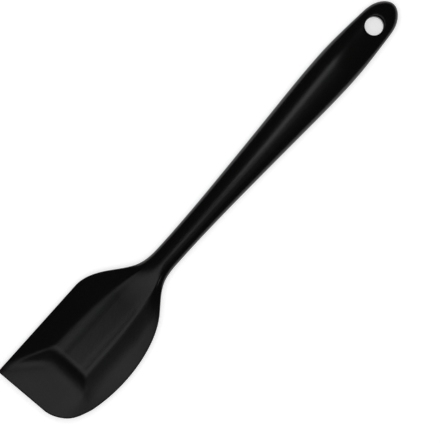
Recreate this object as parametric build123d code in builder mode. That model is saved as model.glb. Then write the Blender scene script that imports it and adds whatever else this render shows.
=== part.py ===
from build123d import *
from math import cos, pi, radians, sin
import os

os.makedirs("parts", exist_ok=True)

# Seamless silicone spatula.
# The origin is the centre of the hang hole, halfway through the handle.
# +X runs along the handle to the tip of the blade, and +Z comes out of the face.
# The straight scraping edge is on the -Y side and the curved one on the +Y side.

# Whole tool
overall_length = 280.0
end_to_hole = 15.6
nose_flat_width = 1.6
nose_flat_thickness = 1.0
hole_radius = 4.8
bore_length = 5.8
hole_rim_round = 2.4

# Handle: widths and thicknesses, and where they lie along the axis
hole_width = 19.3
hole_thickness = 9.6
belly_width = 22.74
belly_thickness = 13.6
belly_from_hole = 29.0
grip_width = 20.1
grip_thickness = 12.8
grip_from_hole = 65.4
waist_width = 16.4
waist_thickness = 11.0
waist_from_hole = 101.8
neck_width = 13.06
neck_thickness = 8.8
neck_from_hole = 156.5

# Blade: the plan outline
straight_reach = 25.5
curved_reach = 27.3
straight_shoulder_length = 47.5
curved_shoulder_length = 67.6
lip_thickness = 1.2
tip_corner_radius = 1.8
tip_curve_length = 19.4
tip_curve_reach = 24.8
tip_edge_reach = 6.0
tip_slant = 0.9

# Blade: the raised centre panel, its bank and the thin wings
panel_thickness = 6.1
panel_end_thickness = 5.4
panel_from_neck = 18.5
panel_root_run = 20.0
panel_root_width = 12.6
panel_straight_ridge = 11.6
panel_straight_end_ridge = 13.2
panel_curved_ridge = 9.4
panel_curved_end_ridge = 10.0
bank_width = 5.6
bank_foot_thickness = 3.2
tip_hollow_length = 29.1
tip_bank_run = 5.6
tip_hollow_thickness = 3.2
tip_hollow_turn = 9.5
hip_to_corner = 4.4
corner_overlap = 0.1

# Inside: nylon core and steel strip
skin = 1.8
hole_lining = 1.4
core_from_hole = 128.0
key_hole_radius = 1.4
key_hole_pitch = 11.0
key_hole_offset = 6.4
key_hole_start = 17.0
key_hole_count = 4
strip_thickness = 1.5
tang_width = 8.0
tang_from_hole = 10.0
tongue_width = 15.0
strip_to_panel_end = 5.0
tang_hole_radius = 1.5
tang_hole_pitch = 22.0
tang_hole_start = 24.0
tang_hole_count = 5
tongue_hole_radius = 2.4
tongue_hole_pitch = 16.0
tongue_hole_count = 3

overrun = 2.0

# Shapes of the curves, as shares of the sizes that they follow
nose_plan_shares = (0.643, 0.767)
nose_side_shares = (0.78, 0.74)
root_shares = (0.33, 0.083)
straight_middle_shares = (0.657, 0.642)
curved_middle_shares = (0.4615, 0.576)
curved_top_shares = (0.692, 0.885)
neck_fall_share = 0.03
drop_share = 0.60
drop_height_share = 0.60
root_height_share = 0.25
blend_shares = (0.30, 1.50)
profile_shares = (0.0, 0.10, 0.20, 0.305, 0.395, 0.485, 0.575, 0.675, 0.74, 0.87, 1.0)
wing_shares = (1 / 3, 2 / 3)
bank_share = 0.35
lip_inset_share = 0.45
tongue_start_share = 0.10
tongue_flare_share = 0.20
lip_start_angle = 8.0
tip_curve_shares = (
    (0.16, 0.479),
    (0.297, 0.654),
    (0.438, 0.766),
    (0.719, 0.904),
    (1.0, 1.0),
    (1.35, 1.115),
)
even_pace = (1.0, 1.0)
search_steps = 40
quarter_turn = 90.0
nose_stations = 6
belly_stations = 4
handle_stations = 7
shoulder_stations = 13
blade_stations = 5

tip = overall_length - end_to_hole
straight_shoulder_end = neck_from_hole + straight_shoulder_length
curved_widest = neck_from_hole + curved_shoulder_length
panel_start = neck_from_hole + panel_from_neck
panel_end = tip - tip_hollow_length
past_tip = tip + overrun
lip_half = lip_thickness / 2
neck_half = neck_width / 2
straight_rise = straight_reach - neck_half
curved_rise = curved_reach - neck_half
neck_drop = (neck_thickness - panel_thickness) / 2
curve_start = tip - tip_curve_length
curve_slope = 2 * (curved_reach - tip_curve_reach) / (curve_start - curved_widest)


def handle_curve(at_end, at_hole, at_belly, at_grip, at_waist, at_neck, nose_shares, neck_fall):
    """Draws half of the handle's outline, from the round end to the neck, where it falls as told."""
    Spline(
        (-end_to_hole, at_end),
        (-end_to_hole * nose_shares[0], at_hole * nose_shares[1]),
        (0, at_hole),
        (belly_from_hole, at_belly),
        tangents=[(0, 1), (1, 0)],
        tangent_scalars=even_pace,
    )
    Spline(
        (belly_from_hole, at_belly),
        (grip_from_hole, at_grip),
        (waist_from_hole, at_waist),
        (neck_from_hole, at_neck),
        tangents=[(1, 0), (1, -neck_fall)],
        tangent_scalars=even_pace,
    )


def shoulder_point(length, rise, shares):
    """A point of a shoulder, at shares of its length and of its rise from the neck."""
    return (neck_from_hole + shares[0] * length, neck_half + shares[1] * rise)


# Plan outline on the straight side
with BuildLine() as straight_side:
    handle_curve(
        nose_flat_width / 2,
        hole_width / 2,
        belly_width / 2,
        grip_width / 2,
        waist_width / 2,
        neck_half,
        nose_plan_shares,
        0,
    )
    Spline(
        (neck_from_hole, neck_half),
        shoulder_point(straight_shoulder_length, straight_rise, root_shares),
        shoulder_point(straight_shoulder_length, straight_rise, straight_middle_shares),
        (straight_shoulder_end, straight_reach),
        tangents=[(1, 0), (1, 0)],
        tangent_scalars=even_pace,
    )
    Line((straight_shoulder_end, straight_reach), (past_tip, straight_reach))

# Plan outline on the curved side
with BuildLine() as curved_side:
    handle_curve(
        nose_flat_width / 2,
        hole_width / 2,
        belly_width / 2,
        grip_width / 2,
        waist_width / 2,
        neck_half,
        nose_plan_shares,
        0,
    )
    Spline(
        (neck_from_hole, neck_half),
        shoulder_point(straight_shoulder_length, straight_rise, root_shares),
        shoulder_point(curved_shoulder_length, curved_rise, curved_middle_shares),
        shoulder_point(curved_shoulder_length, curved_rise, curved_top_shares),
        (curved_widest, curved_reach),
        (curve_start, tip_curve_reach),
        tangents=[(1, 0), (1, -curve_slope)],
        tangent_scalars=even_pace,
    )
    Line((curve_start, tip_curve_reach), (past_tip, tip_curve_reach))

# Half thickness along the axis, from the round end to past the tip
with BuildLine() as half_thickness:
    handle_curve(
        nose_flat_thickness / 2,
        hole_thickness / 2,
        belly_thickness / 2,
        grip_thickness / 2,
        waist_thickness / 2,
        neck_thickness / 2,
        nose_side_shares,
        neck_fall_share,
    )
    Spline(
        (neck_from_hole, neck_thickness / 2),
        (
            neck_from_hole + drop_share * panel_from_neck,
            panel_thickness / 2 + drop_height_share * neck_drop,
        ),
        (panel_start, panel_thickness / 2 + root_height_share * neck_drop),
        (panel_start + panel_root_run, panel_thickness / 2),
        tangents=[(1, -neck_fall_share), (1, 0)],
        tangent_scalars=even_pace,
    )
    Line((panel_start + panel_root_run, panel_thickness / 2), (past_tip, panel_end_thickness / 2))

# Distance of the panel's two ridges from the axis
with BuildLine() as straight_ridge:
    Spline(
        (neck_from_hole, neck_half / 2),
        (panel_start, panel_root_width / 2),
        (straight_shoulder_end, panel_straight_ridge),
        (panel_end, panel_straight_end_ridge),
    )
    Line((panel_end, panel_straight_end_ridge), (past_tip, panel_straight_end_ridge))
with BuildLine() as curved_ridge:
    Spline(
        (neck_from_hole, neck_half / 2),
        (panel_start, panel_root_width / 2),
        (straight_shoulder_end, panel_curved_ridge),
        (panel_end, panel_curved_end_ridge),
    )
    Line((panel_end, panel_curved_end_ridge), (past_tip, panel_curved_end_ridge))


def height(guide, station):
    """Height of a guide curve over one place on the axis, found by halving."""
    edges = guide.line.edges().sort_by(Axis.X)
    edge = next((e for e in edges if station <= e.position_at(1).X), edges[-1])
    low = 0.0
    high = 1.0
    for _ in range(search_steps):
        middle = (low + high) / 2
        if edge.position_at(middle).X < station:
            low = middle
        else:
            high = middle
    return edge.position_at(low).Y


def bladeness(station):
    """How far a section has turned from the round neck into the flat blade, from 0 to 1."""
    start = neck_from_hole + blend_shares[0] * panel_from_neck
    end = neck_from_hole + blend_shares[1] * panel_from_neck
    step = min(max((station - start) / (end - start), 0.0), 1.0)
    return step * step * (3 - 2 * step)


def round_profile(station):
    """Upper half of an elliptical section, from the straight side to the curved side."""
    left = height(straight_side, station)
    right = height(curved_side, station)
    top = height(half_thickness, station)
    start = radians(lip_start_angle)
    points = []
    for share in profile_shares:
        angle = start + share * (pi - 2 * start)
        reach = left if angle < pi / 2 else right
        points.append(Vector(-reach * cos(angle), top * sin(angle)))
    first = Vector(left * sin(start), top * cos(start)).normalized()
    last = Vector(right * sin(start), -top * cos(start)).normalized()
    return points, first, last


def flat_profile(station):
    """Upper half of a blade section: wing, ridge, panel, ridge, bank and wing."""
    left = height(straight_side, station) - lip_inset_share * lip_half
    right = height(curved_side, station) - lip_inset_share * lip_half
    top = height(half_thickness, station)
    ridge_left = height(straight_ridge, station)
    ridge_right = height(curved_ridge, station)
    foot = bank_foot_thickness / 2
    bank = min(bank_width, bank_share * (right - ridge_right))
    edge = Vector(-left, lip_half)
    ridge = Vector(-ridge_left, top)
    far_ridge = Vector(ridge_right, top)
    bank_foot = Vector(ridge_right + bank, foot)
    far_edge = Vector(right, lip_half)
    points = [
        edge,
        edge + (ridge - edge) * wing_shares[0],
        edge + (ridge - edge) * wing_shares[1],
        ridge,
        Vector(-ridge_left / 2, top),
        Vector(0, top),
        Vector(ridge_right / 2, top),
        far_ridge,
        bank_foot,
        (bank_foot + far_edge) / 2,
        far_edge,
    ]
    first = (ridge - edge).normalized()
    last = (far_edge - bank_foot).normalized()
    return points, first, last


def section_at(station):
    """Closed section of the cover across the axis: two faces and two rounded edges."""
    blend = bladeness(station)
    points, first, last = round_profile(station)
    if blend > 0:
        flat_points, flat_first, flat_last = flat_profile(station)
        points = [p * (1 - blend) + q * blend for p, q in zip(points, flat_points)]
        first = (first * (1 - blend) + flat_first * blend).normalized()
        last = (last * (1 - blend) + flat_last * blend).normalized()
    run = sum(((q - p).length for p, q in zip(points, points[1:])), 0.0)
    places = [share * run for share in profile_shares]
    upper = Edge.make_spline(points, tangents=[first, last], parameters=places, scale=False)
    low_points = [Vector(p.X, -p.Y) for p in points]
    low_first = Vector(first.X, -first.Y)
    low_last = Vector(last.X, -last.Y)
    lower = Edge.make_spline(low_points, tangents=[low_first, low_last], parameters=places, scale=False)
    near = Vector(-height(straight_side, station), 0)
    far = Vector(height(curved_side, station), 0)
    with BuildSketch(Plane.YZ.offset(station)) as section:
        with BuildLine():
            add(upper)
            ThreePointArc(points[-1], far, low_points[-1])
            add(lower)
            ThreePointArc(low_points[0], near, points[0])
        make_face()
    return section.sketch


def slope_plane(first, second, third):
    """Plane through three points, facing up."""
    normal = (second - first).cross(third - first)
    return Plane(origin=first, z_dir=normal if normal.Z > 0 else -normal)


nose_angles = [quarter_turn * count / nose_stations for count in range(nose_stations)]
belly_places = [belly_from_hole * count / belly_stations for count in range(belly_stations)]
handle_places = [
    belly_from_hole + (neck_from_hole - belly_from_hole) * count / handle_stations
    for count in range(handle_stations)
]
shoulder_places = [
    neck_from_hole + straight_shoulder_length * count / shoulder_stations
    for count in range(shoulder_stations)
]
blade_places = [
    straight_shoulder_end + (past_tip - straight_shoulder_end) * count / blade_stations
    for count in range(blade_stations + 1)
]

# Stamped spring-steel strip: a narrow tang in the handle and a wide, round-ended tongue in the blade
tongue_end = panel_end - strip_to_panel_end
tongue_centre = tongue_end - tongue_width / 2
flare_start = panel_start - tongue_start_share * (tongue_centre - panel_start)
flare_end = flare_start + tongue_flare_share * (tongue_centre - flare_start)
with BuildPart() as steel_strip:
    with BuildSketch():
        with BuildLine():
            Polyline(
                (tongue_centre, tongue_width / 2),
                (flare_end, tongue_width / 2),
                (flare_start, tang_width / 2),
                (tang_from_hole, tang_width / 2),
                (tang_from_hole, -tang_width / 2),
                (flare_start, -tang_width / 2),
                (flare_end, -tongue_width / 2),
                (tongue_centre, -tongue_width / 2),
            )
            ThreePointArc(
                (tongue_centre, -tongue_width / 2), (tongue_end, 0), (tongue_centre, tongue_width / 2)
            )
        make_face()
        with Locations([(tang_hole_start + tang_hole_pitch * n, 0) for n in range(tang_hole_count)]):
            Circle(tang_hole_radius, mode=Mode.SUBTRACT)
        with Locations([(tongue_centre - tongue_hole_pitch * n, 0) for n in range(tongue_hole_count)]):
            Circle(tongue_hole_radius, mode=Mode.SUBTRACT)
    extrude(amount=strip_thickness / 2, both=True)
steel_strip.part.label = "steel_strip"


def core_section(place, half_width, half_height):
    """Elliptical section of the nylon core."""
    with BuildSketch(Plane.YZ.offset(place)) as section:
        Ellipse(half_width, half_height)
    return section.sketch


# Nylon core: fills the handle one skin below its surface, with an eye round the hang hole
core_sections = [
    core_section(
        -(end_to_hole - skin) * cos(radians(angle)),
        (hole_width / 2 - skin) * sin(radians(angle)),
        (hole_thickness / 2 - skin) * sin(radians(angle)),
    )
    for angle in nose_angles[1:]
]
core_places = belly_places + [
    belly_from_hole + (core_from_hole - belly_from_hole) * count / handle_stations
    for count in range(handle_stations + 1)
]
core_sections += [
    core_section(place, height(straight_side, place) - skin, height(half_thickness, place) - skin)
    for place in core_places
]
with BuildPart() as handle_core:
    loft(core_sections)
    Hole(hole_radius + hole_lining)
    with Locations(
        [
            (key_hole_start + key_hole_pitch * count, side * key_hole_offset)
            for count in range(key_hole_count)
            for side in (-1, 1)
        ]
    ):
        Hole(key_hole_radius)
    add(steel_strip.part, mode=Mode.SUBTRACT)
handle_core.part.label = "handle_core"

# The thin tip of the blade: what is cut away above the lip, beyond the panel's end and the hip
corner_ridge = Vector(panel_end, -height(straight_ridge, panel_end), height(half_thickness, panel_end))
bank_end = panel_end + tip_bank_run
lip_root = Vector(bank_end, 0, tip_hollow_thickness / 2)
lip_plane = slope_plane(lip_root, Vector(tip, 0, lip_half), lip_root + Vector(0, overrun, 0))
end_bank_plane = slope_plane(corner_ridge, lip_root, corner_ridge + Vector(0, overrun, 0))
hip_plane = slope_plane(
    corner_ridge,
    Vector(tip - hip_to_corner, -straight_reach, lip_half),
    Vector(bank_end, -tip_hollow_turn, tip_hollow_thickness / 2),
)
with BuildPart() as tip_hollow:
    with Locations((panel_end - bank_width, -straight_reach - overrun, 0)):
        Box(
            past_tip - panel_end + bank_width,
            straight_reach + curved_reach + 2 * overrun,
            panel_thickness,
            align=(Align.MIN, Align.MIN, Align.MIN),
        )
    split(bisect_by=lip_plane, keep=Keep.TOP)
    split(bisect_by=end_bank_plane, keep=Keep.TOP)
    split(bisect_by=hip_plane, keep=Keep.TOP)

# Rounded mouth of the hang hole, as a turned shape to be cut from each face
mouth_radius = hole_radius + hole_rim_round
with BuildPart() as rim_cutter:
    with BuildSketch(Plane.XZ):
        with BuildLine():
            Polyline(
                (mouth_radius, bore_length / 2 + hole_rim_round),
                (mouth_radius, belly_thickness / 2),
                (0, belly_thickness / 2),
                (0, bore_length / 2),
                (hole_radius, bore_length / 2),
            )
            RadiusArc(
                (hole_radius, bore_length / 2),
                (mouth_radius, bore_length / 2 + hole_rim_round),
                hole_rim_round,
            )
        make_face()
    revolve(axis=Axis.Z)

# Silicone cover: one seamless skin from the round end of the handle to the tip of the blade
corner_centre = Vector(tip - tip_corner_radius, -straight_reach + tip_corner_radius - corner_overlap)
corner_across = tip_corner_radius * Vector(1, -1).normalized()
tip_edge_end = Vector(tip - tip_slant, tip_edge_reach)
curve_run = Vector(-tip_curve_length + tip_slant, tip_curve_reach - tip_edge_reach)
tip_curve = [
    tip_edge_end + Vector(curve_run.X * along, curve_run.Y * across)
    for along, across in tip_curve_shares
]
later_places = handle_places + shoulder_places + blade_places
with BuildPart() as silicone_cover:
    nose_sections = [section_at(-end_to_hole * cos(radians(angle))) for angle in nose_angles]
    loft(nose_sections + [section_at(place) for place in belly_places + later_places])
    with BuildSketch():
        with BuildLine():
            Line((tip, corner_centre.Y), tip_edge_end)
            Spline(
                tip_edge_end,
                *tip_curve,
                tangents=[(-tip_slant, straight_reach + tip_edge_reach), curve_run],
                tangent_scalars=even_pace,
            )
            Polyline(
                tip_curve[-1],
                (curve_start - tip_curve_length, curved_reach + overrun),
                (-end_to_hole - overrun, curved_reach + overrun),
                (-end_to_hole - overrun, -straight_reach - overrun),
                (corner_centre.X, -straight_reach - overrun),
                (corner_centre.X, corner_centre.Y - tip_corner_radius),
            )
            ThreePointArc(
                (corner_centre.X, corner_centre.Y - tip_corner_radius),
                corner_centre + corner_across,
                (tip, corner_centre.Y),
            )
        make_face()
    extrude(amount=belly_thickness, both=True, mode=Mode.INTERSECT)
    add(tip_hollow.part, mode=Mode.SUBTRACT)
    add(mirror(tip_hollow.part, about=Plane.XY), mode=Mode.SUBTRACT)
    Hole(hole_radius)
    add(rim_cutter.part, mode=Mode.SUBTRACT)
    add(mirror(rim_cutter.part, about=Plane.XY), mode=Mode.SUBTRACT)
    add(handle_core.part, mode=Mode.SUBTRACT)
    add(steel_strip.part, mode=Mode.SUBTRACT)
silicone_cover.part.label = "silicone_cover"

for piece in (silicone_cover, handle_core, steel_strip):
    export_step(piece.part, f"parts/{piece.part.label}.step")
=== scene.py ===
"""A seamless silicone spatula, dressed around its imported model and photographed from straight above.

The origin is the centre of the hang hole. X runs along the handle to the blade's tip, Y to the
curved side, and Z out of the face. Sizes are in millimetres until a mesh, lamp or camera takes them
in metres.
"""

import logging
from dataclasses import dataclass, field
from enum import Enum

import bmesh
import bpy
import numpy as np
from mathutils import Matrix, Vector


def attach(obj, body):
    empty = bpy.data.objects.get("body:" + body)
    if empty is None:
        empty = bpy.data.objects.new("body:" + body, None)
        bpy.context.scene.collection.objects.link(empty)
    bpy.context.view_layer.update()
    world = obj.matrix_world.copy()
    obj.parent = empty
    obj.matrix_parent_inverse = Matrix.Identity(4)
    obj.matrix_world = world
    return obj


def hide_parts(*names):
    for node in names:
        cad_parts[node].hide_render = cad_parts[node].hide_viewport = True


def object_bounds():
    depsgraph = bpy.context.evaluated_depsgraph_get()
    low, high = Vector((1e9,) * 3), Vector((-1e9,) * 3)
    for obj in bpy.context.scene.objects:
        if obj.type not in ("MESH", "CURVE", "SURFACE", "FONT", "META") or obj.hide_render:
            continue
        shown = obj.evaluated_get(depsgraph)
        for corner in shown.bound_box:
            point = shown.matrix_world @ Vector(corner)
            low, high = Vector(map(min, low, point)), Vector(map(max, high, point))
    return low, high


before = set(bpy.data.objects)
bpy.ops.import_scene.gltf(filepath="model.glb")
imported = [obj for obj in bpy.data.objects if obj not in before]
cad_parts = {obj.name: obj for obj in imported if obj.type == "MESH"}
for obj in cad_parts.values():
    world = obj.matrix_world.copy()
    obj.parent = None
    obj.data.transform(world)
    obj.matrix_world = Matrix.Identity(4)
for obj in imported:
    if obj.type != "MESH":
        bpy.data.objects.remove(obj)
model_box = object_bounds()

MM = 0.001
QUARTER_TURN = 90.0
SRGB_TOE = 0.04045
SRGB_TOE_SLOPE = 12.92
SRGB_OFFSET = 0.055
SRGB_POWER = 2.4
ROOT_BODY = "root"
log = logging.getLogger("spatula")

Points = tuple[tuple[float, float], ...]


# Numbers and curves


def linear_colour(hex_code: str) -> tuple[float, float, float, float]:
    """Turns an sRGB hex colour into the linear values that shaders take.

    Args:
        hex_code: Six hex digits, with or without a leading hash.

    Returns:
        Red, green, blue and an alpha of one.
    """
    digits = hex_code.lstrip("#")
    shares = np.array([int(digits[place : place + 2], 16) / 255 for place in (0, 2, 4)])
    curved = ((shares + SRGB_OFFSET) / (1 + SRGB_OFFSET)) ** SRGB_POWER
    linear = np.where(shares <= SRGB_TOE, shares / SRGB_TOE_SLOPE, curved).tolist()
    return (linear[0], linear[1], linear[2], 1.0)


def smooth_step(value: np.ndarray, start: float, end: float) -> np.ndarray:
    """Rises smoothly from 0 to 1: three times the square of the share less twice its cube.

    Args:
        value: Where the step is read.
        start: Where it leaves 0.
        end: Where it reaches 1.

    Returns:
        The step, one value for each place.
    """
    share = np.clip((value - start) / (end - start), 0.0, 1.0)
    return share * share * (3 - 2 * share)


def soft_min(first: np.ndarray, second: np.ndarray, rounding: float) -> np.ndarray:
    """The lower of two heights, with the crease between them rounded.

    Where the heights differ by less than the rounding, a parabola takes the crease off.

    Args:
        first: Heights of one surface.
        second: Heights of the other.
        rounding: Difference of height within which they are blended.

    Returns:
        The blended heights.
    """
    share = np.clip(0.5 + 0.5 * (second - first) / rounding, 0.0, 1.0)
    return second * (1 - share) + first * share - rounding * share * (1 - share)


def soft_max(first: np.ndarray, second: np.ndarray, rounding: float) -> np.ndarray:
    """The higher of two heights, with the valley between them rounded as in soft_min."""
    return -soft_min(-first, -second, rounding)


def smooth_line(
    points: Points,
    start: tuple[float, float],
    end: tuple[float, float],
    samples: int = 1200,
) -> np.ndarray:
    """A smooth line through points, as a cubic spline over the length of its chords.

    Args:
        points: Points on the line.
        start: Direction in which it leaves the first point.
        end: Direction in which it reaches the last point.
        samples: How many places along the line are returned.

    Returns:
        An array of places on the line, one row each.
    """
    knots = np.array(points, dtype=float)
    steps = np.linalg.norm(np.diff(knots, axis=0), axis=1)
    slopes = np.diff(knots, axis=0) / steps[:, None]
    count = len(knots)
    system = np.eye(count)
    known = np.zeros_like(knots)
    known[0] = np.array(start) / np.linalg.norm(start)
    known[-1] = np.array(end) / np.linalg.norm(end)
    for row in range(1, count - 1):
        before, after = steps[row - 1], steps[row]
        system[row, row - 1 : row + 2] = (after, 2 * (before + after), before)
        known[row] = 3 * (after * slopes[row - 1] + before * slopes[row])
    pace = np.linalg.solve(system, known)
    along = np.concatenate(([0.0], np.cumsum(steps)))
    place = np.linspace(0.0, along[-1], samples)
    span = np.clip(np.searchsorted(along, place, side="right") - 1, 0, count - 2)
    run = steps[span][:, None]
    share = ((place - along[span]) / steps[span])[:, None]
    squared, cubed = share**2, share**3
    return (
        (2 * cubed - 3 * squared + 1) * knots[span]
        + (cubed - 2 * squared + share) * run * pace[span]
        + (3 * squared - 2 * cubed) * knots[span + 1]
        + (cubed - squared) * run * pace[span + 1]
    )


def resampled(path: np.ndarray, count: int) -> np.ndarray:
    """The same path with evenly spaced places, the two ends among them.

    Args:
        path: Places on the path, one row each.
        count: How many places are wanted.

    Returns:
        The new places, one row each.
    """
    steps = np.linalg.norm(np.diff(path, axis=0), axis=1)
    along = np.concatenate(([0.0], np.cumsum(steps)))
    place = np.linspace(0.0, along[-1], count)
    return np.stack([np.interp(place, along, path[:, axis]) for axis in (0, 1)], axis=1)


def arc(centre: tuple[float, float], radius: float, first: float, last: float, count: int) -> np.ndarray:
    """Places on a circle's arc: its centre plus the radius times the cosine and the sine.

    Args:
        centre: Middle of the circle.
        radius: Radius of the circle.
        first: Angle of the first place, in degrees.
        last: Angle of the last place, in degrees.
        count: How many places are wanted.

    Returns:
        The places, one row each.
    """
    angle = np.radians(np.linspace(first, last, count))
    return np.stack([centre[0] + radius * np.cos(angle), centre[1] + radius * np.sin(angle)], axis=1)


# Meshes


def grid_faces(rows: int, columns: int, first: int) -> np.ndarray:
    """Four-sided faces of a grid of vertices numbered row by row.

    Args:
        rows: Rows of vertices.
        columns: Vertices in each row.
        first: Number of the grid's first vertex.

    Returns:
        One row of four vertex numbers for each face.
    """
    row, column = np.meshgrid(np.arange(rows - 1), np.arange(columns - 1), indexing="ij")
    corner = (first + row * columns + column).ravel()
    return np.stack([corner, corner + columns, corner + columns + 1, corner + 1], axis=1)


def welded_object(name: str, grids: list[np.ndarray], gap: float) -> bpy.types.Object:
    """One closed mesh from several grids of places whose borders meet.

    Args:
        name: Name of the object.
        grids: Arrays of places in millimetres, rows by columns by three.
        gap: Distance in millimetres under which vertices are one.

    Returns:
        The new object, with smooth faces that look outwards.
    """
    faces = []
    first = 0
    for grid in grids:
        faces.append(grid_faces(grid.shape[0], grid.shape[1], first))
        first += grid.shape[0] * grid.shape[1]
    places = np.concatenate([grid.reshape(-1, 3) for grid in grids]) * MM
    mesh = bpy.data.meshes.new(name)
    mesh.from_pydata(places, [], np.concatenate(faces))
    mesh.update()
    piece = bpy.data.objects.new(name, mesh)
    bpy.context.scene.collection.objects.link(piece)
    work = bmesh.new()
    work.from_mesh(mesh)
    bmesh.ops.remove_doubles(work, verts=work.verts, dist=gap * MM)
    bmesh.ops.dissolve_degenerate(work, edges=work.edges, dist=gap * MM)
    bmesh.ops.recalc_face_normals(work, faces=work.faces)
    work.to_mesh(mesh)
    work.free()
    mesh.polygons.foreach_set("use_smooth", np.ones(len(mesh.polygons), dtype=bool))
    mesh.update()
    return piece


# Shader nodes


def add_node(
    tree: bpy.types.NodeTree,
    kind: str,
    settings: dict[str | int, object] | None = None,
    links: dict[str | int, bpy.types.NodeSocket] | None = None,
) -> bpy.types.Node:
    """Adds a node with its settings and links.

    Args:
        tree: The node tree that it joins.
        kind: Type name of the node.
        settings: Values by name of a property, or by name or number of an input socket.
        links: Output sockets by name or number of the input socket that they feed.

    Returns:
        The new node.
    """
    node = tree.nodes.new(kind)
    for key, value in (settings or {}).items():
        if isinstance(key, int) or key in node.inputs:
            node.inputs[key].default_value = value
        else:
            setattr(node, key, value)
    for key, socket in (links or {}).items():
        tree.links.new(socket, node.inputs[key])
    return node


def empty_material(name: str) -> tuple[bpy.types.Material, bpy.types.NodeTree]:
    """A new material with an empty node tree.

    Args:
        name: Name of the material.

    Returns:
        The material and its tree.
    """
    material = bpy.data.materials.new(name)
    material.use_nodes = True
    material.node_tree.nodes.clear()
    return material, material.node_tree


def add_surface(
    tree: bpy.types.NodeTree,
    height: bpy.types.NodeSocket,
    depth_mm: float,
    settings: dict[str | int, object],
    links: dict[str | int, bpy.types.NodeSocket],
) -> None:
    """Adds a finish's shader, with a fine relief, and the output that it feeds.

    Args:
        tree: The material's node tree.
        height: Output socket of the relief's pattern.
        depth_mm: Depth of the relief.
        settings: Values of the shader's inputs.
        links: Output sockets that feed the shader's inputs.
    """
    relief = {"Strength": 1.0, "Distance": depth_mm * MM}
    bump = add_node(tree, "ShaderNodeBump", relief, {"Height": height})
    links = {**links, "Normal": bump.outputs["Normal"]}
    shader = add_node(tree, "ShaderNodeBsdfPrincipled", settings, links)
    add_node(tree, "ShaderNodeOutputMaterial", {}, {"Surface": shader.outputs["BSDF"]})


# Finishes


@dataclass(frozen=True)
class SatinSilicone:
    """Black platinum-cured silicone, moulded in a lightly blasted steel tool.

    It looks almost black from the front, with a broad soft gloss and a fine even grain. The real
    grain, under 0.1 mm, is too fine to show, so it is drawn 0.45 mm wide.
    """

    colour: str = "#050505"
    roughness: float = 0.22
    roughness_change: float = 0.03
    refractive_index: float = 1.41
    gloss_level: float = 0.5
    grain_mm: float = 0.45
    grain_depth_mm: float = 0.012
    grain_roughness: float = 0.6
    cloud_mm: float = 22.0
    cloud_detail: float = 3.0
    grain_detail: float = 2.0

    def material(self) -> bpy.types.Material:
        """Builds the material: dark body colour, soft gloss, fine grain and faint cloudy rubbing.

        Returns:
            The material.
        """
        material, tree = empty_material("satin_silicone")
        place = add_node(tree, "ShaderNodeTexCoord").outputs["Object"]
        cloud = add_node(
            tree,
            "ShaderNodeTexNoise",
            {"Scale": 1 / (self.cloud_mm * MM), "Detail": self.cloud_detail},
            {"Vector": place},
        )
        gloss = add_node(
            tree,
            "ShaderNodeMapRange",
            {
                "To Min": self.roughness - self.roughness_change,
                "To Max": self.roughness + self.roughness_change,
            },
            {"Value": cloud.outputs["Fac"]},
        )
        grain = add_node(
            tree,
            "ShaderNodeTexNoise",
            {
                "Scale": 1 / (self.grain_mm * MM),
                "Detail": self.grain_detail,
                "Roughness": self.grain_roughness,
            },
            {"Vector": place},
        )
        add_surface(
            tree,
            grain.outputs["Fac"],
            self.grain_depth_mm,
            {
                "Base Color": linear_colour(self.colour),
                "IOR": self.refractive_index,
                "Specular IOR Level": self.gloss_level,
            },
            {"Roughness": gloss.outputs["Result"]},
        )
        return material


@dataclass(frozen=True)
class GlassFilledNylon:
    """Moulded nylon with short glass fibres, as it comes out of a plain tool.

    It looks dark grey and dull, with faint streaks along the way that it flowed.
    """

    colour: str = "#5e5e61"
    streak_colour: str = "#6e6e71"
    roughness: float = 0.55
    refractive_index: float = 1.53
    streak_mm: float = 1.2
    streak_detail: float = 4.0
    streak_depth_mm: float = 0.008
    flow_stretch: float = 0.12

    def material(self) -> bpy.types.Material:
        """Builds the material: two close greys, drawn out along the handle, and a fine bump.

        Returns:
            The material.
        """
        material, tree = empty_material("glass_filled_nylon")
        place = add_node(tree, "ShaderNodeTexCoord").outputs["Object"]
        drawn = add_node(
            tree,
            "ShaderNodeMapping",
            {"Scale": (self.flow_stretch, 1.0, 1.0)},
            {"Vector": place},
        )
        streak = add_node(
            tree,
            "ShaderNodeTexNoise",
            {"Scale": 1 / (self.streak_mm * MM), "Detail": self.streak_detail},
            {"Vector": drawn.outputs["Vector"]},
        )
        ramp = add_node(tree, "ShaderNodeValToRGB", {}, {"Fac": streak.outputs["Fac"]})
        ramp.color_ramp.elements[0].color = linear_colour(self.colour)
        ramp.color_ramp.elements[1].color = linear_colour(self.streak_colour)
        add_surface(
            tree,
            streak.outputs["Fac"],
            self.streak_depth_mm,
            {"IOR": self.refractive_index, "Roughness": self.roughness},
            {"Base Color": ramp.outputs["Color"]},
        )
        return material


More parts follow.
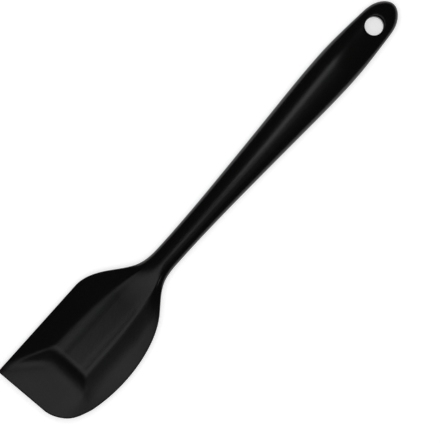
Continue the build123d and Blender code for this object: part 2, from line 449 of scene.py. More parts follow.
@dataclass(frozen=True)
class RolledSpringSteel:
    """Cold-rolled stainless spring strip, stamped to shape.

    It looks bright, with fine lines along the way that it was rolled. The real lines, a few
    hundredths of a millimetre apart, are too fine to show, so they are drawn 0.3 mm apart.
    """

    colour: str = "#c4c4c6"
    roughness: float = 0.3
    roughness_change: float = 0.06
    line_mm: float = 0.3
    line_detail: float = 2.0
    line_depth_mm: float = 0.003
    rolling_stretch: float = 0.02

    def material(self) -> bpy.types.Material:
        """Builds the material: metal whose roughness and bump vary in long thin lines.

        Returns:
            The material.
        """
        material, tree = empty_material("rolled_spring_steel")
        place = add_node(tree, "ShaderNodeTexCoord").outputs["Object"]
        drawn = add_node(
            tree,
            "ShaderNodeMapping",
            {"Scale": (self.rolling_stretch, 1.0, 1.0)},
            {"Vector": place},
        )
        lines = add_node(
            tree,
            "ShaderNodeTexNoise",
            {"Scale": 1 / (self.line_mm * MM), "Detail": self.line_detail},
            {"Vector": drawn.outputs["Vector"]},
        )
        dull = add_node(
            tree,
            "ShaderNodeMapRange",
            {
                "To Min": self.roughness - self.roughness_change,
                "To Max": self.roughness + self.roughness_change,
            },
            {"Value": lines.outputs["Fac"]},
        )
        add_surface(
            tree,
            lines.outputs["Fac"],
            self.line_depth_mm,
            {"Base Color": linear_colour(self.colour), "Metallic": 1.0},
            {"Roughness": dull.outputs["Result"]},
        )
        return material


# The silicone cover


@dataclass
class Handle:
    """Sizes of the handle, from its round end to the neck, and its two smooth outlines."""

    end_to_hole: float = 15.6
    hole_radius: float = 4.8
    bore_length: float = 5.8
    rim_round: float = 2.4
    hole_width: float = 19.3
    hole_thickness: float = 9.6
    belly_width: float = 22.74
    belly_thickness: float = 13.6
    belly_from_hole: float = 29.0
    grip_width: float = 20.1
    grip_thickness: float = 12.8
    grip_from_hole: float = 65.4
    waist_width: float = 16.4
    waist_thickness: float = 11.0
    waist_from_hole: float = 101.8
    neck_width: float = 13.06
    neck_thickness: float = 8.8
    neck_from_hole: float = 156.5
    neck_fall: float = 0.012
    nose_plan_shares: tuple[float, float] = (0.643, 0.767)
    nose_side_shares: tuple[float, float] = (0.78, 0.74)

    def half_line(
        self,
        sizes: tuple[float, float, float, float, float],
        shares: tuple[float, float],
        fall: float,
    ) -> np.ndarray:
        """Half of an outline: from the pole at the round end over the belly to the neck.

        Args:
            sizes: Full sizes at the hole, belly, grip, waist and neck.
            shares: Where the round end's middle point lies, along and across.
            fall: How steeply it falls at the neck.

        Returns:
            Places on the line as distance from the hole and half size.
        """
        hole, belly, grip, waist, neck = (size / 2 for size in sizes)
        nose = smooth_line(
            (
                (-self.end_to_hole, 0.0),
                (-self.end_to_hole * shares[0], hole * shares[1]),
                (0.0, hole),
                (self.belly_from_hole, belly),
            ),
            (0.0, 1.0),
            (1.0, 0.0),
        )
        rest = smooth_line(
            (
                (self.belly_from_hole, belly),
                (self.grip_from_hole, grip),
                (self.waist_from_hole, waist),
                (self.neck_from_hole, neck),
            ),
            (1.0, 0.0),
            (1.0, -fall),
        )
        return np.concatenate([nose, rest[1:]])

    def plan_line(self) -> np.ndarray:
        """Half of the plan outline."""
        sizes = (self.hole_width, self.belly_width, self.grip_width, self.waist_width, self.neck_width)
        return self.half_line(sizes, self.nose_plan_shares, 0.0)

    def side_line(self) -> np.ndarray:
        """Half of the side outline."""
        sizes = (
            self.hole_thickness,
            self.belly_thickness,
            self.grip_thickness,
            self.waist_thickness,
            self.neck_thickness,
        )
        return self.half_line(sizes, self.nose_side_shares, self.neck_fall)


@dataclass
class Blade:
    """Sizes of the blade on its handle: its outline, raised panel, banks, wings and thin tip.

    The panel is flat and tapers to the tip. A bank falls from its curved side to the thin wing, and
    another from its end to the hollowed tip. On the straight side one broad wing falls to the edge,
    and a hip runs from the panel's end to the small corner. Both faces are alike.
    """

    handle: Handle = field(default_factory=Handle)
    overall_length: float = 280.0
    straight_reach: float = 25.5
    curved_reach: float = 27.3
    straight_shoulder_length: float = 47.5
    curved_shoulder_length: float = 67.6
    tip_corner_radius: float = 1.8
    tip_curve_length: float = 19.4
    tip_curve_reach: float = 24.8
    tip_edge_reach: float = 6.0
    tip_slant: float = 0.9
    lip_thickness: float = 1.2
    edge_round: float = 0.6
    panel_thickness: float = 6.1
    panel_end_thickness: float = 5.4
    panel_from_neck: float = 18.5
    panel_root_run: float = 20.0
    panel_root_half: float = 6.3
    straight_ridge: float = 11.6
    straight_end_ridge: float = 13.2
    curved_ridge: float = 9.4
    curved_end_ridge: float = 10.0
    bank_width: float = 5.6
    bank_share: float = 0.35
    bank_foot_thickness: float = 3.2
    tip_hollow_length: float = 29.1
    tip_hollow_thickness: float = 3.2
    tip_bank_run: float = 5.6
    tip_hollow_turn: float = 9.5
    hip_to_corner: float = 4.4
    foot_run: float = 8.0
    sink_depth: float = 0.05
    sink_start: float = 3.5
    sink_middle: float = 7.2
    sink_rise: float = 3.6
    ridge_rounding: float = 0.25
    bank_rounding: float = 0.4
    foot_rounding: float = 0.7
    crest_rounding: float = 0.5
    root_lift: float = 0.7
    groove_depth: float = 0.15
    groove_set_off: float = 0.1
    groove_spread: float = 0.55
    groove_run: float = 4.0
    root_shares: tuple[float, float] = (0.33, 0.083)
    straight_middle_shares: tuple[float, float] = (0.657, 0.642)
    curved_middle_shares: tuple[float, float] = (0.4615, 0.576)
    curved_top_shares: tuple[float, float] = (0.692, 0.885)
    drop_shares: Points = ((0.85, 0.82), (1.25, 0.40))
    tip_curve_shares: Points = (
        (0.16, 0.479),
        (0.297, 0.654),
        (0.438, 0.766),
        (0.719, 0.904),
        (1.0, 1.0),
    )

    def __post_init__(self) -> None:
        """Works out the places along the blade, its outlines and its ridge lines from the sizes."""
        self.tip = self.overall_length - self.handle.end_to_hole
        self.neck_from_hole = self.handle.neck_from_hole
        self.neck_half = self.handle.neck_width / 2
        self.shoulder_end = self.neck_from_hole + self.straight_shoulder_length
        self.widest = self.neck_from_hole + self.curved_shoulder_length
        self.panel_start = self.neck_from_hole + self.panel_from_neck
        self.root_end = self.panel_start + self.panel_root_run
        self.panel_end = self.tip - self.tip_hollow_length
        self.bank_end = self.panel_end + self.tip_bank_run
        self.curve_start = self.tip - self.tip_curve_length
        slope = 2 * (self.curved_reach - self.tip_curve_reach) / (self.curve_start - self.widest)
        level = (1.0, 0.0)
        neck = (self.neck_from_hole, self.neck_half)
        straight = (self.straight_shoulder_length, self.straight_reach)
        curved = (self.curved_shoulder_length, self.curved_reach)
        root = self.shoulder_point(straight, self.root_shares)
        self.straight_line = smooth_line(
            (
                neck,
                root,
                self.shoulder_point(straight, self.straight_middle_shares),
                (self.shoulder_end, self.straight_reach),
            ),
            level,
            level,
        )
        self.curved_line = smooth_line(
            (
                neck,
                root,
                self.shoulder_point(curved, self.curved_middle_shares),
                self.shoulder_point(curved, self.curved_top_shares),
                (self.widest, self.curved_reach),
                (self.curve_start, self.tip_curve_reach),
            ),
            level,
            (1.0, -slope),
        )
        self.straight_ridge_line = self.ridge_line(self.straight_ridge, self.straight_end_ridge)
        self.curved_ridge_line = self.ridge_line(self.curved_ridge, self.curved_end_ridge)
        edge_end = np.array((self.tip - self.tip_slant, self.tip_edge_reach))
        run = np.array((self.curve_start, self.tip_curve_reach)) - edge_end
        self.tip_curve = smooth_line(
            (tuple(edge_end), *[tuple(edge_end + run * share) for share in self.tip_curve_shares]),
            (-self.tip_slant, self.straight_reach + self.tip_edge_reach),
            (-1.0, slope),
        )
        panel_half = self.panel_thickness / 2
        neck_top = self.handle.neck_thickness / 2
        drop = neck_top - panel_half
        fallen = [
            (self.neck_from_hole + run * self.panel_from_neck, panel_half + rise * drop)
            for run, rise in self.drop_shares
        ]
        self.drop_line = smooth_line(
            ((self.neck_from_hole, neck_top), *fallen, (self.root_end, panel_half)),
            (1.0, -self.handle.neck_fall),
            level,
        )

    def shoulder_point(
        self,
        sizes: tuple[float, float],
        shares: tuple[float, float],
    ) -> tuple[float, float]:
        """A place on a shoulder.

        Args:
            sizes: Length of the shoulder, and distance of its end from the axis.
            shares: Where the place lies, along the length and up the rise from the neck.

        Returns:
            The place, as distance from the hole and from the axis.
        """
        length, reach = sizes
        rise = reach - self.neck_half
        return (self.neck_from_hole + shares[0] * length, self.neck_half + shares[1] * rise)

    def ridge_line(self, reach: float, end_reach: float) -> np.ndarray:
        """One of the panel's two ridges: from the neck past the shoulder to the panel's end.

        Args:
            reach: Its distance from the axis at the shoulder's end.
            end_reach: Its distance from the axis at the panel's end.

        Returns:
            Places on the ridge.
        """
        neck = (self.neck_from_hole, self.neck_half / 2)
        start = (self.panel_start, self.panel_root_half)
        middle = (self.shoulder_end, reach)
        end = (self.panel_end, end_reach)
        first = (start[0] - neck[0], start[1] - neck[1])
        last = (end[0] - middle[0], end[1] - middle[1])
        return smooth_line((neck, start, middle, end), first, last)

    def top(self, x: np.ndarray) -> np.ndarray:
        """Half thickness along the axis: a smooth drop from the neck, then an even taper.

        Args:
            x: Distances from the hole.

        Returns:
            Half thicknesses, one for each place.
        """
        ends = (self.panel_thickness / 2, self.panel_end_thickness / 2)
        panel = np.interp(x, (self.root_end, self.tip), ends)
        drop = np.interp(x, self.drop_line[:, 0], self.drop_line[:, 1])
        return np.where(x < self.root_end, drop, panel)

    def left(self, x: np.ndarray) -> np.ndarray:
        """Distance of the straight side's edge from the axis."""
        return np.interp(x, self.straight_line[:, 0], self.straight_line[:, 1])

    def right(self, x: np.ndarray) -> np.ndarray:
        """Distance of the curved side's edge from the axis, up to the start of the tip's curve."""
        return np.interp(x, self.curved_line[:, 0], self.curved_line[:, 1])

    def tip_edge(self, y: np.ndarray) -> np.ndarray:
        """How far from the hole the tip's edge lies: a slanted straight edge, then the curve.

        Args:
            y: Distances from the axis, positive on the curved side.

        Returns:
            Distances from the hole, one for each place.
        """
        slope = self.tip_slant / (self.straight_reach + self.tip_edge_reach)
        edge = self.tip - slope * (y + self.straight_reach)
        curve = np.interp(y, self.tip_curve[:, 1], self.tip_curve[:, 0])
        return np.where(y < self.tip_edge_reach, edge, curve)

    def ridges(self, x: np.ndarray) -> tuple[np.ndarray, np.ndarray, np.ndarray]:
        """Where the panel's ridges and the curved bank's foot lie across the blade.

        The bank is as wide as its size says, or a share of the wing where that is narrower.

        Args:
            x: Distances from the hole.

        Returns:
            Distances from the axis of the straight ridge, the curved ridge and the foot.
        """
        left = np.interp(x, self.straight_ridge_line[:, 0], self.straight_ridge_line[:, 1])
        right = np.interp(x, self.curved_ridge_line[:, 0], self.curved_ridge_line[:, 1])
        bank = np.minimum(self.bank_width, self.bank_share * (self.right(x) - right))
        return left, right, right + bank

    def thinning(self, x: np.ndarray, y: np.ndarray, foot: np.ndarray) -> np.ndarray:
        """How far the thin part has fallen from the banks' foot to the lip, from 0 to 1.

        It falls evenly towards the curved edge, towards the tip, and in a fan about the corner
        between them.

        Args:
            x: Distances from the hole.
            y: Distances from the axis, positive on the curved side.
            foot: Distances of the curved bank's foot from the axis.

        Returns:
            Shares, one for each place.
        """
        corner = np.array((self.bank_end, float(self.ridges(np.array(self.bank_end))[2])))
        along = x - corner[0]
        across = y - corner[1]
        to_curved = (y - foot) / (self.right(x) - foot)
        to_tip = along / (self.tip_edge(np.minimum(y, corner[1])) - corner[0])
        rim = np.concatenate([self.tip_curve, self.curved_line[::-1]]) - corner
        rim = rim[(rim[:, 0] >= 0) & (rim[:, 1] >= 0)]
        rim_angle = np.arctan2(rim[:, 1], rim[:, 0])
        angle = np.arctan2(np.maximum(across, 0), np.maximum(along, 0))
        fan = np.hypot(along, across) / np.interp(angle, rim_angle, np.linalg.norm(rim, axis=1))
        return np.where((along > 0) & (across > 0), fan, np.maximum(to_curved, to_tip))

    def height(self, x: np.ndarray, y: np.ndarray) -> np.ndarray:
        """Height of the blade's upper face over its middle plane.

        The face is the lowest of the flat panel, the straight wing and the banks, and the banks end
        in the thin part that runs out to the lip. The panel sinks a little on each side of the strip.
        A shallow groove, bell-shaped across, runs along the foot of the hip. The wings start thicker
        at the neck, by a lift that fades out at the shoulder's end.

        Args:
            x: Distances from the hole.
            y: Distances from the axis, positive on the curved side.

        Returns:
            Heights, one for each place.
        """
        top = self.top(x)
        lift = self.root_lift * (1 - smooth_step(x, self.panel_start, self.shoulder_end))
        lip = self.lip_thickness / 2 + lift
        foot_height = self.bank_foot_thickness / 2 + lift
        hollow_height = self.tip_hollow_thickness / 2
        left_ridge, right_ridge, foot = self.ridges(x)
        left_edge = self.left(x)
        straight_wing = lip + (top - lip) * (left_edge + y) / (left_edge - left_ridge)
        fallen = smooth_step(x, self.panel_end, self.bank_end + self.foot_run)
        thin_root = foot_height + (hollow_height - foot_height) * fallen
        thin = thin_root + (lip - thin_root) * self.thinning(x, y, foot)
        side_bank = top - (top - foot_height) * (y - right_ridge) / (foot - right_ridge)
        ridge_at_end = float(self.ridges(np.array(self.panel_end))[0])
        top_at_end = float(self.top(np.array(self.panel_end)))
        end_bank = top_at_end - (top_at_end - hollow_height) * (x - self.panel_end) / self.tip_bank_run
        hip = self.plane_height(
            x,
            y,
            (self.panel_end, -ridge_at_end, top_at_end),
            (self.tip - self.hip_to_corner, -self.straight_reach, self.lip_thickness / 2),
            (self.bank_end, -self.tip_hollow_turn, hollow_height),
        )
        end_side = soft_max(end_bank, hip, self.foot_rounding)
        banks = soft_min(side_bank, end_side, self.bank_rounding)
        raised = soft_max(banks, thin, self.foot_rounding)
        off_foot = (hip - thin + self.groove_set_off) / self.groove_spread
        groove = self.groove_depth * np.exp(-(off_foot**2))
        groove *= smooth_step(x, self.panel_end, self.bank_end + self.foot_run)
        raised = raised - groove * smooth_step(self.tip - x, 0.0, self.groove_run)
        across = np.abs(y)
        sunk = smooth_step(across, self.sink_start, self.sink_middle)
        sunk *= 1 - smooth_step(across, self.sink_middle, self.sink_middle + self.sink_rise)
        sunk *= smooth_step(x, self.panel_start, self.root_end)
        panel = top - self.sink_depth * sunk
        face = soft_min(panel, straight_wing, self.ridge_rounding)
        return soft_min(face, raised, self.crest_rounding)

    @staticmethod
    def plane_height(
        x: np.ndarray,
        y: np.ndarray,
        first: tuple[float, float, float],
        second: tuple[float, float, float],
        third: tuple[float, float, float],
    ) -> np.ndarray:
        """Height of the plane through three places: square to the cross product of two of its sides.

        Args:
            x: Distances from the hole.
            y: Distances from the axis.
            first: A place on the plane.
            second: Another.
            third: A third, off the line through the first two.

        Returns:
            Heights, one for each place.
        """
        origin = np.array(first)
        normal = np.cross(np.array(second) - origin, np.array(third) - origin)
        return origin[2] - (normal[0] * (x - origin[0]) + normal[1] * (y - origin[1])) / normal[2]


@dataclass
class SiliconeCover:
    """The one seamless silicone moulding: handle, neck and blade."""

    blade: Blade = field(default_factory=Blade)
    finish: SatinSilicone = field(default_factory=SatinSilicone)
    ring_start: float = 14.0
    band_angle: float = 12.0
    band_rows: int = 7
    wing_columns: int = 34
    panel_columns: int = 40
    bank_columns: int = 12
    handle_rows: int = 90
    blade_rows: int = 110
    tip_rows: int = 76
    mouth_rows: int = 44
    nose_columns: int = 120
    wall_rows: int = 5
    corner_steps: int = 16
    column_shares: tuple[float, float, float, float, float] = (0.0, 0.305, 0.675, 0.74, 1.0)
    turn_shares: tuple[float, float] = (0.30, 1.50)
    mouth_rounding: float = 0.5
    large_corner_from_tip: float = 9.0
    large_corner_reach: float = 20.4
    weld_gap: float = 0.002

    def __post_init__(self) -> None:
        """Takes the handle that the blade is joined to, and works out its two outlines."""
        self.handle = self.blade.handle
        self.plan = self.handle.plan_line()
        self.side = self.handle.side_line()

    def columns(self) -> np.ndarray:
        """Shares across the upper face, closer together where the bank turns.

        Returns:
            Shares from 0 at the straight edge to 1 at the curved one.
        """
        counts = (self.wing_columns, self.panel_columns, self.bank_columns, self.wing_columns)
        spans = zip(self.column_shares[:-1], self.column_shares[1:], counts)
        parts = [np.linspace(first, last, count, endpoint=False) for first, last, count in spans]
        return np.concatenate(parts + [np.array([1.0])])

    def widths(self, x: np.ndarray) -> tuple[np.ndarray, np.ndarray]:
        """Distances of the two edges from the axis, from the round end to the tip's curve.

        Args:
            x: Distances from the hole.

        Returns:
            Distances of the straight side's edge and of the curved side's.
        """
        handle = np.interp(x, self.plan[:, 0], self.plan[:, 1])
        before = x < self.handle.neck_from_hole
        left = np.where(before, handle, self.blade.left(x))
        right = np.where(before, handle, self.blade.right(x))
        return left, right

    def thickness(self, x: np.ndarray) -> np.ndarray:
        """Half thickness on the axis, of the handle up to the neck and of the blade past it."""
        handle = np.interp(x, self.side[:, 0], self.side[:, 1])
        return np.where(x < self.handle.neck_from_hole, handle, self.blade.top(x))

    def round_section(self, x: np.ndarray) -> np.ndarray:
        """Upper half of elliptical sections: width times the cosine, thickness times the sine.

        Args:
            x: Distances of the sections from the hole.

        Returns:
            Places in rows of one section each, from the straight side to the curved one.
        """
        share = self.columns()
        limit = np.radians(self.band_angle)
        inner = limit + share * (np.pi - 2 * limit)
        outer = np.linspace(0, limit, self.band_rows, endpoint=False)
        angle = np.concatenate([outer, inner, np.pi - outer[::-1]])
        left, right = self.widths(x)
        reach = np.where(angle[None, :] < np.pi / 2, left[:, None], right[:, None])
        y = -reach * np.cos(angle)[None, :]
        z = self.thickness(x)[:, None] * np.sin(angle)[None, :]
        return np.stack([np.broadcast_to(x[:, None], y.shape), y, z], axis=2)

    def flat_section(self, x: np.ndarray) -> np.ndarray:
        """Upper half of blade sections: a rounded edge, the face, and a rounded edge.

        Each edge is a quarter ellipse, from the middle plane in by the edge's round and up to the
        face's height there.

        Args:
            x: Distances of the sections from the hole.

        Returns:
            Places in rows of one section each, from the straight side to the curved one.
        """
        left, right = self.widths(x)
        left_ridge, right_ridge, foot = self.blade.ridges(x)
        inset = self.blade.edge_round
        knots = np.stack([inset - left, -left_ridge, right_ridge, foot, right - inset], axis=1)
        share = self.columns()
        y = np.stack([np.interp(share, self.column_shares, row) for row in knots])
        along = np.broadcast_to(x[:, None], y.shape)
        z = self.blade.height(along, y)
        turn = np.radians(np.linspace(0, QUARTER_TURN, self.band_rows, endpoint=False))
        near_y = -left[:, None] + inset * (1 - np.cos(turn))[None, :]
        near_z = z[:, :1] * np.sin(turn)[None, :]
        far_y = (right[:, None] - inset * (1 - np.cos(turn))[None, :])[:, ::-1]
        far_z = (z[:, -1:] * np.sin(turn)[None, :])[:, ::-1]
        y = np.concatenate([near_y, y, far_y], axis=1)
        z = np.concatenate([near_z, z, far_z], axis=1)
        return np.stack([np.broadcast_to(x[:, None], y.shape), y, z], axis=2)

    def body_grid(self) -> np.ndarray:
        """Upper half from behind the hang hole to the blade's widest place.

        Round sections turn smoothly into blade sections past the neck, as a share of each.

        Returns:
            Places in rows of one section each.
        """
        neck = self.handle.neck_from_hole
        x = np.concatenate(
            [
                np.linspace(self.ring_start, neck, self.handle_rows, endpoint=False),
                np.linspace(neck, self.blade.widest, self.blade_rows),
            ]
        )
        start, end = (neck + share * self.blade.panel_from_neck for share in self.turn_shares)
        turned = smooth_step(x, start, end)[:, None, None]
        flat = self.flat_section(np.maximum(x, neck))
        flat[..., 0] = x[:, None]
        return self.round_section(x) * (1 - turned) + flat * turned

    def mouth_grid(self) -> np.ndarray:
        """Upper half of the round end, in rings about the hang hole.

        Rays run from the bore's wall to the outline. Their height is the lower of the elliptical
        handle and the mouth of the hole, which rises from the wall in a quarter circle.

        Returns:
            Places in rows of one ring each, the wall's first.
        """
        section = self.round_section(np.array([self.ring_start]))[0]
        ring = section[:, :2]
        nose = self.plan[self.plan[:, 0] < self.ring_start]
        nose = np.concatenate([nose, [(self.ring_start, ring[-1, 1])]])
        outline = np.concatenate([nose[::-1], nose[1:] * (1, -1)])
        outer = np.concatenate([ring, resampled(outline, self.nose_columns)[1:]])
        reach = np.linalg.norm(outer, axis=1)
        hole = self.handle.hole_radius
        share = (1 - np.cos(np.pi * np.linspace(0, 1, self.mouth_rows))) / 2
        radius = hole + (reach[None, :] - hole) * share[:, None]
        unit = outer / reach[:, None]
        x = radius * unit[None, :, 0]
        y = radius * unit[None, :, 1]
        width = np.maximum(self.widths(x)[0], self.weld_gap)
        surface = self.thickness(x) * np.sqrt(np.clip(1 - (y / width) ** 2, 0, 1))
        rounding = self.handle.rim_round
        mouth = hole + rounding
        inside = np.clip(mouth - radius, 0, rounding)
        wall_top = self.handle.bore_length / 2
        lip = wall_top + np.sqrt(rounding**2 - inside**2) + np.maximum(radius - mouth, 0)
        z = soft_min(surface, lip, self.mouth_rounding)
        z[0] = wall_top
        z[-1] = np.concatenate([section[:, 2], np.zeros(self.nose_columns - 1)])
        rows = np.stack([x, y, z], axis=2)
        wall = np.repeat(rows[:1], self.wall_rows, axis=0)
        wall[:, :, 2] = np.linspace(0, wall_top, self.wall_rows, endpoint=False)[:, None]
        return np.concatenate([wall, rows])

    def tip_outline(self) -> tuple[np.ndarray, np.ndarray, np.ndarray]:
        """The outline past the widest place: straight side, tip and curved side.

        The three parts meet halfway round the small corner and halfway round the large one.

        Returns:
            Places on each of the three parts, one row each.
        """
        blade = self.blade
        radius = blade.tip_corner_radius
        half = self.corner_steps
        centre = (blade.tip - radius, radius - blade.straight_reach)
        small = arc(centre, radius, -QUARTER_TURN, 0.0, 2 * half + 1)
        near = np.concatenate([[(blade.widest, -blade.straight_reach)], small[: half + 1]])
        side = blade.curved_line[::-1]
        side = side[side[:, 0] > blade.widest]
        side_end = [(blade.widest, blade.curved_reach)]
        path = np.concatenate([small[half:], blade.tip_curve, side[1:], side_end])
        large = (blade.tip - self.large_corner_from_tip, self.large_corner_reach)
        middle = int(np.argmin(np.linalg.norm(path - large, axis=1)))
        return near, path[: middle + 1], path[middle:]

    def tip_grids(self, last: np.ndarray) -> list[np.ndarray]:
        """Upper half past the widest place: a face stretched between its borders, and its rim.

        Inside its four borders the face lies, in plan, at the sum of the two straight blends between
        opposite borders less the blend of the four corners. The rim is a quarter ellipse, as on the
        blade's other edges.

        Args:
            last: The body's last section, at the widest place.

        Returns:
            The grid of the face and the grid of the rim.
        """
        blade = self.blade
        near, tip, far = self.tip_outline()
        columns = last[self.band_rows : -self.band_rows]
        count = len(columns)
        near = resampled(near, self.tip_rows)
        tip = resampled(tip, count)
        far = resampled(far, self.tip_rows)[::-1]
        loop = np.concatenate([near, tip[1:], far[::-1][1:]])
        heading = np.gradient(loop, axis=0)
        heading /= np.linalg.norm(heading, axis=1)[:, None]
        heading[0] = (1, 0)
        heading[-1] = (-1, 0)
        inward = np.stack([-heading[:, 1], heading[:, 0]], axis=1)
        inner = loop + blade.edge_round * inward
        near_in = inner[: self.tip_rows]
        tip_in = inner[self.tip_rows - 1 : self.tip_rows - 1 + count]
        far_in = inner[self.tip_rows + count - 2 :][::-1]
        along = np.linspace(0, 1, self.tip_rows)[:, None, None]
        across = ((columns[:, 1] - columns[0, 1]) / (columns[-1, 1] - columns[0, 1]))[None, :, None]
        start = columns[None, :, :2]
        across_tip = np.linspace(0, 1, count)[None, :, None]
        share = across * (1 - along) + across_tip * along
        face = (
            (1 - along) * start
            + along * tip_in[None]
            + (1 - share) * near_in[:, None]
            + share * far_in[:, None]
            - (1 - along) * ((1 - share) * near_in[0] + share * far_in[0])
            - along * ((1 - share) * near_in[-1] + share * far_in[-1])
        )
        height = blade.height(face[..., 0], face[..., 1])
        surface = np.concatenate([face, height[..., None]], axis=2)
        border = np.concatenate([surface[:, 0], surface[-1, 1:], surface[::-1, -1][1:]])
        turn = np.radians(np.linspace(0, QUARTER_TURN, self.band_rows + 1))[:, None, None]
        rim_plan = loop[None] + (1 - np.cos(turn)) * (border[None, :, :2] - loop[None])
        rim_height = np.sin(turn) * border[None, :, 2:]
        rim = np.concatenate([rim_plan, rim_height], axis=2)
        return [surface, rim]

    def build(self) -> bpy.types.Object:
        """Builds the closed mesh: the upper half, and its mirror image below the middle plane.

        Returns:
            The cover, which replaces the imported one.
        """
        mouth = self.mouth_grid()
        closed_mouth = np.concatenate([mouth, mouth[:, :1]], axis=1)
        body = self.body_grid()
        upper = [closed_mouth, body, *self.tip_grids(body[-1])]
        lower = [grid * (1, 1, -1) for grid in upper]
        piece = welded_object("silicone_spatula_cover", upper + lower, self.weld_gap)
        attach(piece, ROOT_BODY)
        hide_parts("silicone_cover")
        return piece

    def dress(self, piece: bpy.types.Object) -> None:
        """Gives the cover its finish."""
        piece.data.materials.append(self.finish.material())


@dataclass
class SealedInside:
    """The two pieces that the cover hides: the nylon core and the steel strip."""

    core: GlassFilledNylon = field(default_factory=GlassFilledNylon)
    strip: RolledSpringSteel = field(default_factory=RolledSpringSteel)

    def dress(self) -> list[bpy.types.Object]:
        """Gives each sealed piece its finish.

        Returns:
            The two pieces.
        """
        finishes = {"handle_core": self.core, "steel_strip": self.strip}
        dressed = []
        for name, finish in finishes.items():
            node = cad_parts[name]
            node.data.materials.clear()
            node.data.materials.append(finish.material())
            dressed.append(node)
        return dressed


# The studio


class LampKind(Enum):
    """What a lamp is for."""

    SOFTBOX = "softbox"
    FILL = "fill"


@dataclass
class Lamp:
    """A rectangular area lamp that faces straight down. Its place is in the picture's directions.

    Places are millimetres to the right, up and towards the camera from the middle of the picture,
    and the turn is in degrees, from upright in the picture towards its left. A softbox shows in the
    gloss and a fill doesn't.
    """

    name: str
    kind: LampKind
    place: tuple[float, float, float]
    sides: tuple[float, float]
    radiance: float
    turn: float = 0.0

    def build(self, picture: Matrix) -> bpy.types.Object:
        """Builds the lamp. Its power is its face's brightness times its area times pi.

        Args:
            picture: Turns the picture's directions into the spatula's frame.

        Returns:
            The lamp.
        """
        data = bpy.data.lights.new(self.name, "AREA")
        data.shape = "RECTANGLE"
        data.size = self.sides[0] * MM
        data.size_y = self.sides[1] * MM
        data.energy = self.radiance * np.pi * self.sides[0] * self.sides[1] * MM * MM
        lamp = bpy.data.objects.new(self.name, data)
        place = Matrix.Translation(Vector(self.place) * MM)
        turn = Matrix.Rotation(np.radians(self.turn), 4, "Z")
        lamp.matrix_world = picture @ place @ turn
        lamp.visible_glossy = self.kind is LampKind.SOFTBOX
        lamp.visible_camera = False
        bpy.context.scene.collection.objects.link(lamp)
        return lamp


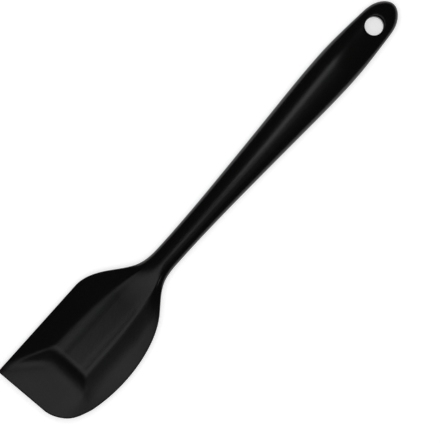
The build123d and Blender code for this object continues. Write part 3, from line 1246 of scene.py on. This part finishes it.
@dataclass
class Studio:
    """A pale floor, soft lamps, and a camera straight above the spatula.

    The middle of the picture and its upward direction are in the spatula's frame, and follow from
    where the photograph shows the hang hole and the blade.
    """

    middle: tuple[float, float] = (129.05, 8.32)
    image_up: tuple[float, float] = (-0.74398, -0.66820)
    view_width: float = 229.0
    camera_height: float = 1800.0
    sensor: float = 36.0
    floor_reach: float = 3000.0
    floor_colour: str = "#f2f2f2"
    floor_lift: float = 0.5
    world_level: float = 0.07
    far_clip: float = 100_000.0

    def picture(self) -> Matrix:
        """Turns the picture's right, up and towards the camera into the spatula's frame.

        Returns:
            The turn, with the move to the middle of the picture.
        """
        up = Vector((*self.image_up, 0.0)).normalized()
        back = Vector((0.0, 0.0, 1.0))
        turn = Matrix((up.cross(back), up, back)).transposed().to_4x4()
        return Matrix.Translation(Vector((*self.middle, 0.0)) * MM) @ turn

    def camera(self) -> None:
        """A long lens that looks straight down, turned as the photograph is."""
        data = bpy.data.cameras.new("camera")
        data.sensor_fit = "HORIZONTAL"
        data.sensor_width = self.sensor
        data.lens = self.sensor * self.camera_height / self.view_width
        data.clip_end = self.far_clip * MM
        camera = bpy.data.objects.new("camera", data)
        lift = Matrix.Translation(Vector((0.0, 0.0, self.camera_height * MM)))
        camera.matrix_world = self.picture() @ lift
        bpy.context.scene.collection.objects.link(camera)
        bpy.context.scene.camera = camera

    def floor(self, level: float) -> None:
        """A pale floor that shows white to the camera and in reflections, and keeps the shadow.

        Args:
            level: Height of the floor in metres.
        """
        reach = self.floor_reach * MM
        rows = np.array([(-reach, -reach), (reach, -reach), (reach, reach), (-reach, reach)])
        corners = np.concatenate([rows, np.full((4, 1), level)], axis=1)
        mesh = bpy.data.meshes.new("floor")
        mesh.from_pydata(corners, [], [(0, 1, 2, 3)])
        floor = bpy.data.objects.new("floor", mesh)
        bpy.context.scene.collection.objects.link(floor)
        material, tree = empty_material("pale_floor")
        path = add_node(tree, "ShaderNodeLightPath")
        math = "ShaderNodeMath"
        rays = {0: path.outputs["Is Camera Ray"], 1: path.outputs["Is Glossy Ray"]}
        shown = add_node(tree, math, {"operation": "MAXIMUM"}, rays)
        rays = {0: shown.outputs[0], 1: path.outputs["Is Transmission Ray"]}
        shown = add_node(tree, math, {"operation": "MAXIMUM"}, rays)
        lift = add_node(tree, math, {"operation": "MULTIPLY", 1: self.floor_lift}, {0: shown.outputs[0]})
        matte = add_node(tree, "ShaderNodeBsdfDiffuse", {"Color": linear_colour(self.floor_colour)})
        glow = add_node(tree, "ShaderNodeEmission", {}, {"Strength": lift.outputs[0]})
        both = add_node(tree, "ShaderNodeAddShader", {}, {0: matte.outputs[0], 1: glow.outputs[0]})
        add_node(tree, "ShaderNodeOutputMaterial", {}, {"Surface": both.outputs[0]})
        mesh.materials.append(material)

    def world(self) -> None:
        """A dim even surround that shows white to the camera."""
        world = bpy.data.worlds.new("surround")
        bpy.context.scene.world = world
        world.use_nodes = True
        tree = world.node_tree
        tree.nodes.clear()
        path = add_node(tree, "ShaderNodeLightPath")
        level = add_node(
            tree,
            "ShaderNodeMapRange",
            {"To Min": self.world_level, "To Max": 1.0},
            {"Value": path.outputs["Is Camera Ray"]},
        )
        sky = add_node(tree, "ShaderNodeBackground", {}, {"Strength": level.outputs["Result"]})
        add_node(tree, "ShaderNodeOutputWorld", {}, {"Surface": sky.outputs["Background"]})

    def lamps(self) -> list[Lamp]:
        """The lamps: softboxes over the handle and the blade, a weak one aside, and a fill.

        The two over the spatula show as the highlight along the handle and as the sheen on the panel,
        curved wing and tip. The weak one shows in the curved bank. Nothing shows in the straight wing.

        Returns:
            The lamps.
        """
        return [
            Lamp(
                name="handle_box",
                kind=LampKind.SOFTBOX,
                place=(3, 105, 300),
                sides=(55, 185),
                radiance=1.7,
                turn=3.7,
            ),
            Lamp(
                name="blade_box",
                kind=LampKind.SOFTBOX,
                place=(-62, -241, 1200),
                sides=(484, 246),
                radiance=1.25,
            ),
            Lamp(
                name="side_box",
                kind=LampKind.SOFTBOX,
                place=(370, -561, 1200),
                sides=(520, 260),
                radiance=0.26,
                turn=-41.9,
            ),
            Lamp(
                name="fill",
                kind=LampKind.FILL,
                place=(0, 0, 1600),
                sides=(2500, 2500),
                radiance=1.3,
            ),
        ]

    def build(self, level: float) -> None:
        """Builds the studio round the spatula.

        Args:
            level: Height of the floor in metres.
        """
        self.camera()
        self.floor(level)
        self.world()
        for lamp in self.lamps():
            lamp.build(self.picture())
        bpy.context.scene.view_settings.view_transform = "Standard"


def main() -> None:
    """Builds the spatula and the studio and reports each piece."""
    logging.basicConfig(level=logging.INFO, format="%(name)s: %(message)s")
    cover = SiliconeCover()
    piece = cover.build()
    cover.dress(piece)
    log.info("cover: %d vertices, %d faces", len(piece.data.vertices), len(piece.data.polygons))
    for node in SealedInside().dress():
        log.info("sealed inside: %s", node.name)
    Studio().build(float(model_box[0][2]))
    log.info("studio built")


if __name__ == "__main__":
    main()
